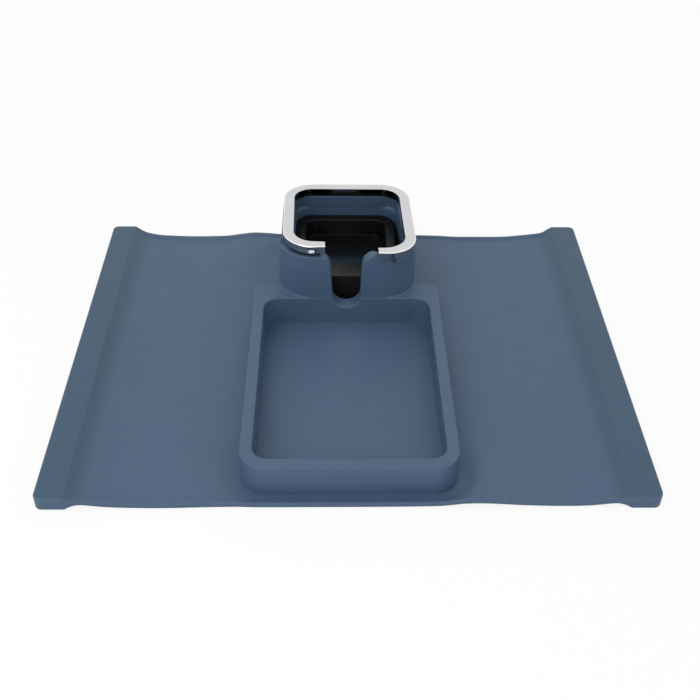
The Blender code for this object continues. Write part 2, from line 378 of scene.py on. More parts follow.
def makeSideSheet(side, name):
    inner = rail["inner"] - rail["cove"]
    seam = mat["seam"]
    bendGap = (mat["bendEnd"] - mat["bendStart"]) / mat["bendSteps"]
    places = [seam]
    places += [mat["bendStart"] + bendGap * i for i in range(mat["bendSteps"] + 1)]
    count = int((inner - mat["bendEnd"]) / mat["stationGap"])
    places += [mat["bendEnd"] + (inner - mat["bendEnd"]) * i / count for i in range(1, count + 1)]
    item = makeSkin(name, side, [(x, side) for x in places], True)
    cutBarPocket(item, side)
    return item


bar = {
    "clearance": 0.3 * mm,
    "pinHole": 1.5 * mm,
    "pinSides": 24,
    "pinSpacing": 200 * mm,
}


def cutBarPocket(item, side):
    # The weight bar's pocket, and the two holes left by the pins that held it in the mould
    gap = bar["clearance"]
    low = barLow - Vector((gap, gap, gap))
    high = barHigh + Vector((gap, gap, gap))
    left, right = sorted((side * low.x, side * high.x))
    outline = [(left, low.y), (right, low.y), (right, high.y), (left, high.y)]
    cutWith(item, loftRings("pocket", [atHeight(outline, low.z), atHeight(outline, high.z)]))
    for end in (-1, 1):
        middle = (left + right) / 2
        place = end * bar["pinSpacing"] / 2
        circle = arcPoints(middle, place, bar["pinHole"], 0, 2 * pi, bar["pinSides"])[:-1]
        cutWith(item, loftRings("pin", [atHeight(circle, -low.z), atHeight(circle, (low.z + high.z) / 2)]))
    shadeRound(item, 50)


# Tray and tower: one soft moulding

tray = {
    "height": trayHigh.z,
    "wall": 9.0 * mm,
    "frontWall": 9.4 * mm,
    "frontCorner": 18.5 * mm,
    "backCorner": 12 * mm,
    "wellCorner": (11.5 * mm, 13 * mm),      # at the front and at the back
    "rimRound": 0.8 * mm,
    "draft": 0.4 * mm,
    "frontDraft": 2.1 * mm,
    "wellDraft": (1.1 * mm, 0.3 * mm),       # left and right
    "skin": 0.25 * mm,           # the tray's back wall lies over the tower's face
    "wellSink": 1.0 * mm,        # the sheet is thinner on the tray's floor
    "sinkBehind": 5 * mm,        # and so far in under the tower's front face
    # How much narrower the left side is at the front and at the back, and the right side
    "narrow": ((0.1 * mm, 0.65 * mm), (-0.4 * mm, 0.2 * mm)),
}

tower = {
    "foot": (towerHigh.x - towerLow.x) / 2,
    "lip": 54.2 * mm,
    "lipHeight": towerHigh.z,
    "corner": 24.4 * mm,
    "cornerCore": 31.6 * mm,     # corner centres of the tower and of its cavity's rim
    "frontCore": 27 * mm,        # the outer front corners are rounder
    "cavityFoot": 42.0 * mm,
    "cavityLip": 43.9 * mm,
    "flareFoot": 50 * mm,        # the cavity widens above this height, and its corners grow tighter
    "cavityCore": 27.7 * mm,
    "cornerStep": 5.2 * mm,
    "cornerRise": 2.6 * mm,
    "rimBack": (58 * mm, 72 * mm),   # behind this the ring covers the rim
    "rimLoss": 1.5 * mm,
    "ledge": insertHigh.z,
    "slotHalfFoot": 11.3 * mm,
    "slotHalfHead": 12.7 * mm,
    "slotLean": 0.4 * mm,        # the slot's left side leans out this much more at the lip
    "slotFloor": 16.3 * mm,
    "slotFlare": (12 * mm, 10 * mm),         # left and right
    "slotEdge": 1.1 * mm,
    "slotEdgeHead": (2 * mm, 0.6),           # this close to the lip, this share of it is left
    "seatHalf": 52.9 * mm,
    "seatDepth": 1.6 * mm,
    "seatEdge": 0.25 * mm,
    "ringGap": 20.45 * mm,
    "gapShift": 1.2 * mm,
    # How far the top stands askew at the back, at the front left and at the front right
    "askewX": (0.7 * mm, 0.2 * mm, 0.4 * mm),
    "askewY": (-1.9 * mm, 1.6 * mm, -0.4 * mm),
    "faceShift": (1.0 * mm, 1.3 * mm),      # of the front face, at the foot and from the tray's rim up
    "wideBy": 1.9 * mm,          # the right side stands further out towards the front
    "wideFrom": 25 * mm,
    # The cavity leaves the insert more room on the right and at the back
    "loose": (4.2 * mm, 1.8 * mm),
    "looseReach": 40 * mm,
    "looseEnd": 0.45,            # share of it that is left in the back right corner
    "trayFillet": 0.8 * mm,
    "footFillet": 1.2 * mm,
    "filletFrom": (50 * mm, 62 * mm),
}


def filletUnion(a, b, radius):
    return (np.maximum(radius, np.minimum(a, b))
            - np.hypot(np.maximum(radius - a, 0), np.maximum(radius - b, 0)))


def roundedMeet(a, b, radius):
    return (np.minimum(-radius, np.maximum(a, b))
            + np.hypot(np.maximum(radius + a, 0), np.maximum(radius + b, 0)))


def rightSide(y, half):
    reach = tower["wideFrom"]
    return half + tower["wideBy"] * (1 - ease((y - towerY + reach) / (2 * reach)))


def squarePlan(x, y, half, core=tower["cornerCore"]):
    return planDistance(x, y, -half, rightSide(y, half), towerY - half, towerY + half, half - core)


def towerPlan(x, y, half, front=0.0):
    # Outer outline, with rounder front corners
    core = np.where(y < towerY, tower["frontCore"], tower["cornerCore"])
    return planDistance(x, y, -half, rightSide(y, half), towerY - half + front, towerY + half, half - core)


def faceShift(z):
    # The front face leans back from its foot up to the tray's rim
    low, high = tower["faceShift"]
    return low + (high - low) * np.clip(z / tray["height"], 0, 1)


def towerHalf(z):
    return tower["foot"] + (tower["lip"] - tower["foot"]) * z / tower["lipHeight"]


def wellBack(z):
    # Where the tray's well ends in front of the tower
    return towerY - towerHalf(z) + faceShift(z) - tray["skin"]


def cavityPlan(x, y, z):
    share = np.clip((z - tower["flareFoot"]) / (tower["lipHeight"] - tower["flareFoot"]), 0, 1)
    half = tower["cavityFoot"] + (tower["cavityLip"] - tower["cavityFoot"]) * share
    step = tower["cornerStep"] * ease((z - tower["flareFoot"]) / tower["cornerRise"])
    right, back = tower["loose"]
    right = right * (1 - (1 - tower["looseEnd"]) * ease((y - towerY) / tower["looseReach"]))
    x = x - right * (1 - share) * np.clip(x / half, 0, 1)
    y = y - back * (1 - share) * np.clip((y - towerY) / half, 0, 1)
    return squarePlan(x, y, half, tower["cavityCore"] + step)


def rimShare(y):
    # 1 at the front of the tower, 0 where the ring covers the whole rim
    start, end = tower["rimBack"]
    return 1 - ease((y - start) / (end - start))


def slotGap(x, y, z):
    # Distance into the handle slot as seen from the front, negative inside it
    centre = tower["slotFloor"] + tower["slotHalfFoot"]
    share = (z - centre) / (tower["lipHeight"] - centre)
    half = tower["slotHalfFoot"] + (tower["slotHalfHead"] - tower["slotHalfFoot"]) * share
    half = half + np.where(x < 0, tower["slotLean"] * share, 0)
    gap = np.where(z > centre, np.abs(x) - half, np.hypot(x, z - centre) - tower["slotHalfFoot"])
    return np.where((y < towerY) & (y > towerY - 1.1 * tower["foot"]), gap, tower["foot"])


def trayForm(x, y, z):
    share = z / tray["height"]
    along = np.clip((y - trayLow.y) / (trayHigh.y - trayLow.y), 0, 1)
    sides = [front + (back - front) * along for front, back in tray["narrow"]]
    narrow = np.where(x < 0, *sides)
    wide = x * trayHigh.x / (trayHigh.x - narrow)
    behind = y > (trayLow.y + trayHigh.y) / 2
    corner = np.where(behind, tray["backCorner"], tray["frontCorner"])
    inset = tray["draft"] * share
    outer = planDistance(wide, y, trayLow.x + inset, trayHigh.x - inset,
                         trayLow.y - tray["frontDraft"] * (1 - share), trayHigh.y - inset, corner)
    leftFoot, rightFoot = [draft * (1 - share) for draft in tray["wellDraft"]]
    wellCorner = np.where(behind, *tray["wellCorner"][::-1])
    well = planDistance(wide, y, trayLow.x + tray["wall"] + leftFoot, trayHigh.x - tray["wall"] - rightFoot,
                        trayLow.y + tray["frontWall"] + leftFoot, wellBack(z), wellCorner)
    block = roundedMeet(outer, z - tray["height"], tray["rimRound"])
    return roundedMeet(block, -well, tray["rimRound"]), outer, well


def ringShift(x, y, key):
    # How far the ring stands off its place on the tower
    return askew(x, y, ringSizes[key]) - askew(x, y, tower[key])


def seatPlan(x, y):
    opening = np.maximum(np.abs(x - tower["gapShift"]) - tower["ringGap"], y - towerY)
    return np.maximum(squarePlan(x, y, tower["seatHalf"]), -opening)


def bodyForm(x, y, z):
    # Tray and tower without the foot fillets
    covered = 1 - rimShare(y)
    half = towerHalf(z) - tower["rimLoss"] * covered * z / tower["lipHeight"]
    trayPart, outer, well = trayForm(x, y, z)
    body = filletUnion(trayPart, towerPlan(x, y, half, faceShift(z)), tower["trayFillet"])
    wall = np.maximum(body, -cavityPlan(x, y, z))
    lip = tower["lipHeight"] - tower["seatDepth"] * covered
    head = roundedMeet(z - lip, -slotGap(x, y, z), np.where(x < 0, *tower["slotFlare"]))
    near, left = tower["slotEdgeHead"]
    edge = tower["slotEdge"] * np.where(z > tower["lipHeight"] - near, left, 1.0)
    form = roundedMeet(wall, head, edge)
    moved = seatPlan(x - ringShift(x, y, "askewX"), y - ringShift(x, y, "askewY"))
    seat = np.minimum(moved, np.where(x < 0, seatPlan(x, y), moved))
    seat = np.maximum(seat, tower["lipHeight"] - tower["seatDepth"] - z)
    return roundedMeet(form, -seat, tower["seatEdge"]), outer, well


moulding = {
    "voxel": 0.65 * mm,
    "quickVoxel": 1.5 * mm,
    "skirt": 3.5 * mm,         # foot plate sunk in the sheet, so that the foot fillet runs out on it
    "sunk": 0.01 * mm,
    "frontSunk": 1.1 * mm,     # deeper in front, where the foot has only a small fillet
    "frontFillet": 0.2 * mm,
    "bottom": 0.8 * mm,
    "roughGap": 1 * mm,        # the rough block's well is so much narrower on each side
    "pullStep": 0.02 * mm,
    "pullRounds": (6, 3),
    "share": 0.3,
}


def mouldingForm(points):
    # Signed distance to the tray and tower with all their fillets, negative inside
    x, y, z = points.T
    form, outer, well = bodyForm(x, y, z)
    plan = np.minimum(outer, towerPlan(x, y, tower["foot"])) - moulding["skirt"]
    plan = np.maximum(plan, -well)
    plan = np.maximum(plan, -cavityPlan(x, y, 0 * z))
    start, end = tower["filletFrom"]
    soft = ease((y - start) / (end - start))
    plate = np.maximum(plan, z - mat["thickness"] + moulding["sunk"] + moulding["frontSunk"] * (1 - soft))
    fillet = moulding["frontFillet"]
    form = filletUnion(form, plate, fillet + (tower["footFillet"] - fillet) * soft)
    return np.maximum(form, moulding["bottom"] - z)


def pullOnto(item, form, rounds):
    # Moves every point along the steepest slope onto the surface of the form
    step = moulding["pullStep"]
    points = readPoints(item)
    for _ in range(rounds):
        value = form(points)
        slope = np.zeros_like(points)
        for axis in range(3):
            offset = np.zeros(3)
            offset[axis] = step
            slope[:, axis] = (form(points + offset) - form(points - offset)) / (2 * step)
        length = np.maximum((slope ** 2).sum(1), 0.25)
        points -= slope * (np.clip(value, -mm, mm) / length)[:, None]
    writePoints(item, points)


def roughMoulding():
    # Plain blocks that the voxel remesh turns into an even skin
    bottom, top = moulding["bottom"], tray["height"]
    corners = tray["frontCorner"], tray["backCorner"]
    outer = roundedRect(trayLow.x, trayHigh.x, trayLow.y, trayHigh.y, *corners)
    block = loftRings("block", [atHeight(outer, bottom), atHeight(outer, top)])
    outlines = []
    for z in (0, top):
        wall = tray["wall"] + tray["wellDraft"][0] * (1 - z / top)
        gap = moulding["roughGap"]
        outlines.append(roundedRect(trayLow.x + wall + gap, trayHigh.x - wall - gap,
                                    trayLow.y + tray["frontWall"], wellBack(z), *tray["wellCorner"]))
    low, high = outlines
    well = [atHeight(low, -top), atHeight(low, 0), atHeight(high, top), atHeight(high, 2 * top)]
    cutWith(block, loftRings("well", well))
    skirt = moulding["skirt"]
    plateHeight = mat["thickness"] - moulding["sunk"]
    plate = roundedRect(trayLow.x - skirt, trayHigh.x + skirt, trayLow.y - skirt, trayHigh.y + skirt,
                        *(radius + skirt for radius in corners))
    sole = loftRings("plate", [atHeight(plate, bottom), atHeight(plate, plateHeight)])
    cutWith(sole, loftRings("hole", [atHeight(low, -top), atHeight(low, top)]))
    cutWith(block, sole, "UNION")
    foot = squareOutline(tower["foot"] + skirt)
    cutWith(block, loftRings("foot", [atHeight(foot, bottom), atHeight(foot, plateHeight)]), "UNION")
    shaft = [atHeight(towerOutline(z), z) for z in (bottom, top, tower["lipHeight"])]
    cutWith(block, loftRings("shaft", shaft), "UNION")
    lipHeight, ledge = tower["lipHeight"], tower["ledge"]
    half, core = tower["cavityFoot"], tower["cavityCore"]
    right, back = tower["loose"]
    low = roundedRect(-half, half + right, towerY - half, towerY + half + back, half - core, half - core)
    high = squareOutline(tower["cavityLip"], core)
    cavity = [atHeight(low, -ledge), atHeight(low, ledge),
              atHeight(high, lipHeight), atHeight(high, 2 * lipHeight)]
    cutWith(block, loftRings("cavity", cavity))
    cutWith(block, slotBlock(towerY - 2 * tower["foot"], towerY))
    outline = squareOutline(tower["seatHalf"])
    seatBottom = lipHeight - tower["seatDepth"]
    seat = loftRings("seat", [atHeight(outline, seatBottom), atHeight(outline, 2 * lipHeight)])
    left, right = tower["gapShift"] - tower["ringGap"], tower["gapShift"] + tower["ringGap"]
    front = towerY - 2 * tower["foot"]
    keep = [(left, front), (right, front), (right, towerY), (left, towerY)]
    cutWith(seat, loftRings("keep", [atHeight(keep, 0), atHeight(keep, 3 * lipHeight)]))
    cutWith(block, seat)
    return block


def shareOf(value):
    # 0 at one side of the tower, 1 at the other
    return np.clip((value + tower["lip"]) / (2 * tower["lip"]), 0, 1)


def askew(x, y, moves):
    # Blends the moves of the back, of the front left and of the front right
    toFront, toRight = shareOf(towerY - y), shareOf(x)
    back, frontLeft, frontRight = moves
    return back * (1 - toFront) + (frontLeft * (1 - toRight) + frontRight * toRight) * toFront


def twist(points):
    # The soft top of the tower stands a little askew
    x, y, z = points.T
    weight = np.clip((z - tower["flareFoot"]) / (tower["lipHeight"] - tower["flareFoot"]), 0, 1)
    moveX, moveY = askew(x, y, tower["askewX"]), askew(x, y, tower["askewY"])
    return np.column_stack([weight * moveX, weight * moveY, 0 * z])


def squareOutline(half, core=tower["cornerCore"]):
    radius = half - core
    return roundedRect(-half, half, towerY - half, towerY + half, radius, radius)


def towerOutline(z):
    half = towerHalf(z)
    return roundedRect(-half, half + tower["wideBy"], towerY - half + faceShift(z), towerY + half,
                       half - tower["frontCore"], half - tower["cornerCore"])


def slotBlock(fromY, toY, extra=0.0):
    # The handle slot as a block, with its round foot and its flared head
    foot = tower["slotHalfFoot"] + extra
    head = tower["slotHalfHead"] + extra
    flare = tower["slotFlare"][1]
    top = tower["lipHeight"]
    points = arcPoints(0, tower["slotFloor"] + tower["slotHalfFoot"], foot, pi, pi, 24)
    right = arcPoints(head + flare, top - flare, flare, pi, -pi / 2, 12)
    points += right + [(right[-1][0], 2 * top), (-right[-1][0], 2 * top)]
    points += [(-x, z) for x, z in right[::-1]]
    return loftRings("slot", [[(x, y, z) for x, z in points] for y in (fromY, toY)])


def makeMoulding():
    item = roughMoulding()
    item.name = "tray_and_tower"
    remesh = item.modifiers.new("even_skin", "REMESH")
    remesh.mode = "VOXEL"
    remesh.voxel_size = moulding["voxel"]
    applyModifiers(item)
    early, late = moulding["pullRounds"]
    pullOnto(item, mouldingForm, early)
    thin = item.modifiers.new("fewer_faces", "DECIMATE")
    thin.ratio = moulding["share"]
    applyModifiers(item)
    pullOnto(item, mouldingForm, late)
    points = readPoints(item)
    writePoints(item, points + twist(points))
    item.data.shade_smooth()
    return item


# Trim ring

ringSizes = {
    "half": ringHigh.x,
    "band": 8.7 * mm,
    "bottom": tower["lipHeight"] - tower["seatDepth"] + 0.3 * mm,   # just clear of its seat
    "top": ringHigh.z,
    "edge": 0.35 * mm,
    "outerEdge": 1.0 * mm,
    "outerCore": 28.6 * mm,
    "innerCore": 28.9 * mm,
    "askewX": (0.7 * mm, 2.0 * mm, 3.7 * mm),
    "askewY": (-1.9 * mm, 2.1 * mm, -4.2 * mm),
    "lift": 3.0 * mm,          # the front left end stands proud of its seat
    "leftReach": 14 * mm,
    "leftThin": 1.6 * mm,      # the front left end is narrower on its outer side
    "rightReach": 19 * mm,
    "rightThin": 1.6 * mm,     # the front right end is narrower on its inner side
    "rightBend": 0.45 * mm,
    "leanPlace": -29.8 * mm,   # here the bent side leans out at its foot
    "leanReach": 5.5 * mm,
    "leanHeight": 4.4 * mm,
    "leanBy": 1.1 * mm,
    "gapHalf": 20.75 * mm,
    "tongue": 2.4 * mm,
    "tongueInset": 4.0 * mm,
    "tongueSunk": 2 * mm,      # its root lies so far below the ring's top
    "endStep": 1 * mm,         # a first short step of the sweep at both ends
}


def cPath(half, gapHalf, core=tower["cornerCore"]):
    # From the front right end of the C round the back to its front left end
    radius = half - core
    front = towerY - half
    step = ringSizes["endStep"]
    steps = 20
    left, right = tower["gapShift"] - gapHalf, tower["gapShift"] + gapHalf
    points = [(right, front), (right + step, front)]
    points += [(right + step + (core - right - step) * t, front) for t in (0.25, 0.5, 0.75)]
    for i, (cx, cy) in enumerate(((core, -core), (core, core), (-core, core), (-core, -core))):
        points += arcPoints(cx, towerY + cy, radius, -pi / 2 + i * pi / 2, pi / 2, steps)
    points += [(left - step - (core + left - step) * t, front) for t in (0.75, 0.5, 0.25)]
    points += [(left - step, front), (left, front)]
    return points


def sweepC(name, section, gapHalf):
    # Sweeps a section of half width, height and corner centre round the C
    rows = [[(x, y, z) for x, y in cPath(half, gapHalf, core)] for half, z, core in section]
    return loftRings(name, [[row[i] for row in rows] for i in range(len(rows[0]))])


def makeRing():
    # A rounded rectangular section, and under it the tongue that holds the ring
    s = ringSizes
    outer, inner = s["outerCore"], s["innerCore"]
    low, high = s["bottom"], s["top"]
    inside = s["half"] - s["band"]
    section = [(s["half"] - inset, high - drop, outer) for inset, drop in edgeSteps(s["outerEdge"], 6)]
    section += [(inside + inset, high - drop, inner) for inset, drop in edgeSteps(s["edge"])[::-1]]
    section += [(inside + inset, low + drop, inner) for inset, drop in edgeSteps(s["edge"])]
    section += [(s["half"] - inset, low + drop, outer) for inset, drop in edgeSteps(s["edge"])[::-1]]
    section += [(s["half"], low + (high - low) * t, outer) for t in (0.2, 0.35, 0.5, 0.65, 0.8)]
    item = sweepC("trim_ring_plated", section, s["gapHalf"])
    middle = s["half"] - s["band"] / 2
    root = s["top"] - s["tongueSunk"]
    tongue = [(middle + side * s["tongue"] / 2, z, tower["cornerCore"])
              for side, z in ((1, root), (-1, root), (-1, ringLow.z), (1, ringLow.z))]
    cutWith(item, sweepC("tongue", tongue, s["gapHalf"] + s["tongueInset"]), "UNION")
    points = readPoints(item)
    writePoints(item, points + ringMove(points))
    shadeRound(item, 50)
    return item


def ringMove(points):
    # The ring sits askew on the soft tower and is bent a little at its ends
    s = ringSizes
    x, y, z = points.T
    inside = s["half"] - s["band"]
    across = planDistance(x, y, -inside, inside, towerY - inside, towerY + inside, inside - s["innerCore"])
    across = np.clip(across / s["band"], 0, 1)
    leftEnd, rightEnd = tower["gapShift"] - s["gapHalf"], tower["gapShift"] + s["gapHalf"]
    nearLeft = ease(1 + (x - leftEnd) / s["leftReach"]) * (x < 0) * (y < towerY)
    nearRight = ease(1 - (x - rightEnd) / s["rightReach"]) * (x > 0) * (y < towerY)
    moveY = askew(x, y, s["askewY"]) + s["leftThin"] * across * nearLeft
    moveY -= (s["rightBend"] + s["rightThin"] * (1 - across)) * nearRight
    lean = ease(1 - (z - s["bottom"]) / s["leanHeight"])
    lean = lean * ease(1 - np.abs(x - s["leanPlace"]) / s["leanReach"])
    moveY -= s["leanBy"] * lean * (across > 0.9) * (y < towerY)
    lift = s["lift"] * ease(shareOf(towerY - y)) * ease(2 * shareOf(-x) - 0.5)
    return np.column_stack([askew(x, y, s["askewX"]), moveY, lift])


# Cup insert

insert = {
    "half": insertHigh.x,
    "core": tower["cavityCore"],
    "wall": 2.5 * mm,
    "recess": 33.5 * mm,
    "recessCorner": 10 * mm,
    "depth": 15 * mm,
    "draft": 0.8 * mm,
    "edge": 1.0 * mm,
    "floorFillet": 0.3 * mm,
    "underFillet": 2.0 * mm,
    "slotEase": 0.6 * mm,
    "slotReach": 30 * mm,      # from the middle of the cup to the face at the end of the slot
    "faceHalf": 15 * mm,
    "faceWall": 2.5 * mm,
}


def recessOutline(half):
    radius = half - insert["recess"] + insert["recessCorner"]
    return roundedRect(-half, half, towerY - half, towerY + half, radius, radius)


def makeInsert():
    # A thin shell: skirt, ledge and sunk recess, open underneath
    s = insert
    ledge = insertHigh.z
    floor = ledge - s["depth"]
    under = ledge - s["wall"]
    foot = s["recess"] - s["draft"]
    skirt = s["half"] - s["wall"]
    rings = [atHeight(recessOutline(foot + s["wall"] - s["underFillet"]), floor - s["wall"]),
             atHeight(recessOutline(foot + s["wall"]), floor - s["wall"] + s["underFillet"]),
             atHeight(recessOutline(s["recess"] + s["wall"]), under),
             atHeight(squareOutline(skirt, s["core"]), under),
             atHeight(squareOutline(skirt, s["core"]), insertLow.z),
             atHeight(squareOutline(s["half"], s["core"]), insertLow.z)]
    for inset, drop in edgeSteps(s["edge"]):
        rings.append(atHeight(squareOutline(s["half"] - inset, s["core"]), ledge - drop))
    for inset, drop in edgeSteps(s["edge"])[::-1]:
        rings.append(atHeight(recessOutline(s["recess"] + inset), ledge - drop))
    for inset, drop in edgeSteps(s["floorFillet"]):
        rings.append(atHeight(recessOutline(foot - inset), floor + drop))
    item = loftRings("cup_insert_shell", rings)
    face = towerY - s["slotReach"]
    plate = [(-s["faceHalf"], face), (s["faceHalf"], face), (s["faceHalf"], face + s["faceWall"]),
             (-s["faceHalf"], face + s["faceWall"])]
    cutWith(item, loftRings("face", [atHeight(plate, insertLow.z), atHeight(plate, floor - s["wall"] / 2)]),
            "UNION")
    cutWith(item, slotBlock(towerY - 2 * s["half"], face, s["slotEase"]))
    shadeRound(item, 40)
    return item


print("sheets and rails")
centreSheet = makeCentreSheet()
leftSheet = makeSideSheet(-1, "left_side_sheet")
rightSheet = makeSideSheet(1, "right_side_sheet")
print("tray and tower")
trayAndTower = makeMoulding()
print("ring and insert")
ringPiece = makeRing()
insertPiece = makeInsert()


# Finishes

def newMaterial(name):
    material = bpy.data.materials.new(name)
    material.use_nodes = True
    tree = material.node_tree
    return material, tree, tree.nodes["Principled BSDF"]


def addNode(tree, kind, **values):
    node = tree.nodes.new(kind)
    for key, value in values.items():
        setattr(node, key, value)
    return node


def feed(tree, value, socket):
    # Links another node's output to a socket, or sets the socket to a number, a vector or a colour
    if isinstance(value, bpy.types.NodeSocket):
        tree.links.new(value, socket)
    else:
        socket.default_value = (*value, 1) if socket.type == "RGBA" else value


def maths(tree, operation, *values, vector=False):
    node = addNode(tree, "ShaderNodeVectorMath" if vector else "ShaderNodeMath", operation=operation)
    for value, socket in zip(values, node.inputs):
        feed(tree, value, socket)
    return node.outputs["Vector" if vector and operation != "LENGTH" else "Value"]


def mapRange(tree, value, low, high, toLow=0, toHigh=1, **settings):
    node = addNode(tree, "ShaderNodeMapRange", **settings)
    for key, number in (("From Min", low), ("From Max", high), ("To Min", toLow), ("To Max", toHigh)):
        node.inputs[key].default_value = number
    feed(tree, value, node.inputs["Value"])
    return node.outputs["Result"]


def spread(tree, value, low, high):
    # Maps the useful middle of a noise onto a range
    return mapRange(tree, value, 0.3, 0.7, low, high)


def noise(tree, place, scale, detail):
    node = addNode(tree, "ShaderNodeTexNoise")
    feed(tree, scale, node.inputs["Scale"])
    feed(tree, detail, node.inputs["Detail"])
    feed(tree, place, node.inputs["Vector"])
    return node.outputs["Fac"]


def objectPlace(tree):
    return addNode(tree, "ShaderNodeTexCoord").outputs["Object"]


def split(tree, vector):
    # The X, Y and Z of a vector
    node = addNode(tree, "ShaderNodeSeparateXYZ")
    feed(tree, vector, node.inputs[0])
    return node.outputs


def facingUp(tree):
    # 1 where a surface looks straight up, 0 where it stands upright
    return split(tree, addNode(tree, "ShaderNodeNewGeometry").outputs["Normal"])["Z"]


def mixColours(tree, factor, first, second, blend="MIX"):
    node = addNode(tree, "ShaderNodeMix", data_type="RGBA", blend_type=blend)
    for value, index in ((factor, 0), (first, 6), (second, 7)):
        feed(tree, value, node.inputs[index])
    return node.outputs[2]


def bumpFrom(tree, height, strength, distance, normal=None):
    node = addNode(tree, "ShaderNodeBump")
    feed(tree, strength, node.inputs["Strength"])
    feed(tree, distance, node.inputs["Distance"])
    feed(tree, height, node.inputs["Height"])
    if normal is not None:
        feed(tree, normal, node.inputs["Normal"])
    return node.outputs["Normal"]


silicone = {
    "pale": (0.062, 0.111, 0.187),
    "deep": (0.0595, 0.1065, 0.1805),
    "cloudScale": 16,
    "speck": (0.0725, 0.122, 0.1955),
    "speckShare": 0.25,
    "speckScale": 700,
    "railShade": (0.72, 0.81, 0.76),   # painted shade: the rails' tops and the cove that climbs to them are coloured deeper than the thin sheet
    "railShadeFade": (4 * mm, 3 * mm),    # from so far before the cove to so far before the rail
    "upward": (0.4, 0.9),             # and only where the surface looks up
    "roughness": (0.42, 0.52),
    "patchScale": 60,
    "gloss": 0.5,
    "ior": 1.41,
    "grainScale": 1500.0,
    "grainDepth": 0.03 * mm,
    "softScale": 220,
}


def makeSilicone():
    s = silicone
    material, tree, shader = newMaterial("slate_blue_silicone")
    place = objectPlace(tree)
    cloud = spread(tree, noise(tree, place, s["cloudScale"], 3), 0, 1)
    base = mixColours(tree, cloud, s["pale"], s["deep"])
    fine = spread(tree, noise(tree, place, s["speckScale"], 2), 0, s["speckShare"])
    colour = mixColours(tree, fine, base, s["speck"])
    # Painted shade: deeper colour over the rails' tops and the cove up to them, only where the surface looks
    # up
    away = maths(tree, "ABSOLUTE", split(tree, place)["X"])
    start, end = s["railShadeFade"]
    onRail = mapRange(tree, away, rail["inner"] - rail["cove"] - start, rail["inner"] - end)
    share = maths(tree, "MULTIPLY", onRail, mapRange(tree, facingUp(tree), *s["upward"]))
    feed(tree, mixColours(tree, share, colour, s["railShade"], "MULTIPLY"), shader.inputs["Base Color"])
    patches = noise(tree, place, s["patchScale"], 4)
    feed(tree, spread(tree, patches, *s["roughness"]), shader.inputs["Roughness"])
    grain = noise(tree, place, s["grainScale"], 2)
    soft = noise(tree, place, s["softScale"], 3)
    normal = bumpFrom(tree, grain, 0.5, s["grainDepth"])
    normal = bumpFrom(tree, soft, 0.25, 2 * s["grainDepth"], normal)
    feed(tree, normal, shader.inputs["Normal"])
    feed(tree, s["ior"], shader.inputs["IOR"])
    feed(tree, s["gloss"], shader.inputs["Specular IOR Level"])
    return material


plating = {
    "top": (0.65, 0.65, 0.665),
    "topDeeper": 0.96,
    "toneScale": 40,
    # Painted highlight on the rounded edges; painted shade on the upright sides and on the inner side
    "edge": (0.88, 0.88, 0.89),
    "side": (0.50, 0.51, 0.52),
    "inside": (0.10, 0.105, 0.11),
    "shadedInsideFrom": 3.5 * mm,       # painted shade on the inner side, from this far in from the outer side
    "topRoughness": 0.30,
    "sideRoughness": 0.06,
    "smear": (-0.02, 0.03),
    "smearScale": 120,
    # How far up a surface looks where each look fades in
    "satinFade": (0.8, 0.98),
    "topFade": (0.9, 0.99),
    "edgeHighlightFade": (0.1, 0.4),
    "rippleScale": 90,
    "rippleDepth": 0.05 * mm,
}


def makePlating():
    # Satin on the flat top; a painted highlight makes the rounded edges brightest, and painted shade darkens
    # the upright sides and the inner side
    s = plating
    material, tree, shader = newMaterial("bright_plating")
    place = objectPlace(tree)
    up = facingUp(tree)
    satinShare = mapRange(tree, up, *s["satinFade"], s["sideRoughness"], s["topRoughness"])
    smear = spread(tree, noise(tree, place, s["smearScale"], 4), *s["smear"])
    feed(tree, maths(tree, "ADD", satinShare, smear), shader.inputs["Roughness"])
    tone = spread(tree, noise(tree, place, s["toneScale"], 2), 0, 1)
    satin = mixColours(tree, tone, s["top"], tuple(s["topDeeper"] * c for c in s["top"]))
    core = ringSizes["outerCore"]
    middle = maths(tree, "SUBTRACT", place, (0, towerY, 0), vector=True)
    away = maths(tree, "ABSOLUTE", middle, vector=True)
    beyond = maths(tree, "SUBTRACT", away, (core, core, 1), vector=True)
    outward = maths(tree, "MAXIMUM", beyond, (0, 0, 0), vector=True)
    length = maths(tree, "LENGTH", outward, vector=True)
    inside = maths(tree, "LESS_THAN", length, ringSizes["half"] - s["shadedInsideFrom"] - core)
    # Painted highlight where an edge tilts up, painted shade on the upright sides and the dark inner side
    sides = mixColours(tree, mapRange(tree, up, *s["edgeHighlightFade"]), s["side"], s["edge"])
    sides = mixColours(tree, inside, sides, s["inside"])
    colour = mixColours(tree, mapRange(tree, up, *s["topFade"]), sides, satin)
    feed(tree, colour, shader.inputs["Base Color"])
    ripple = noise(tree, place, s["rippleScale"], 1)
    feed(tree, bumpFrom(tree, ripple, 0.1, s["rippleDepth"]), shader.inputs["Normal"])
    feed(tree, 1.0, shader.inputs["Metallic"])
    return material


blackGloss = {
    "colour": (0.0028, 0.0029, 0.0034),
    "dust": (0.0055, 0.0056, 0.0062),
    "dustShare": 0.5,
    "dustScale": 900,
    "ledgeRoughness": (0.34, 0.44),
    "floorRoughness": (0.15, 0.22),
    "ledgeFade": (3 * mm, 6 * mm),       # from the floor's gloss to the ledge's, above the floor
    "smearScale": 45,
    "face": (0.020, 0.0205, 0.0225),     # painted light: the face at the end of the slot is coloured lighter
    "litFaceNear": 0.1 * mm,
    "litFaceBelow": 0.2 * mm,
    "blueReflection": (0.0045, 0.0165, 0.0270),    # painted reflection: the floor behind the slot is coloured with the mat's blue
    "blueReflectionPlaces": (95 * mm, 86 * mm, 84 * mm, 74 * mm),
    "blueReflectionAbove": 1 * mm,
    "peelScale": 260,
    "peelDepth": 0.02 * mm,
    "ior": 1.31,
}


